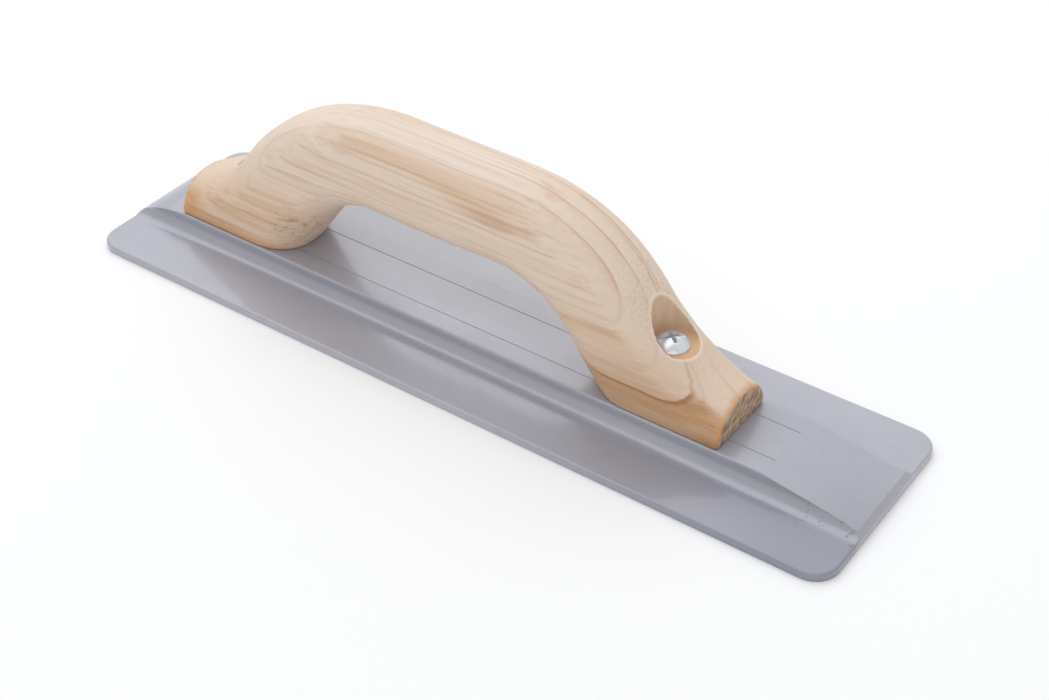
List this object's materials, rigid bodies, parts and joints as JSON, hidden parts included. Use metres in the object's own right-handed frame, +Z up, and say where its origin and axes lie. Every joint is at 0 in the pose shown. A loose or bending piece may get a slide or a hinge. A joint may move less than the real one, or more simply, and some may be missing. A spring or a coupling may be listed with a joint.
{
  "type": "hand float",
  "caption": "Long ribbed light-alloy float plate with a bridge-shaped wooden handle held by recessed machine screws.",
  "frame": {"origin": "centre of the sole, on the working face", "axes": "+X along the plate towards the end with the long overhang, called the front; +Z up from the sole; Y across the plate"},
  "size_m": [0.3048, 0.0794, 0.0739],
  "materials": {
    "plate_metal": "satin",
    "handle_wood": "matt, sanded, unvarnished",
    "screw_zinc": "bright zinc plated"
  },
  "bodies": {
    "root": {"float_plate": "plate_metal", "handle": "handle_wood", "front_screw": "screw_zinc", "rear_screw": "screw_zinc"}
  },
  "joints": []
}
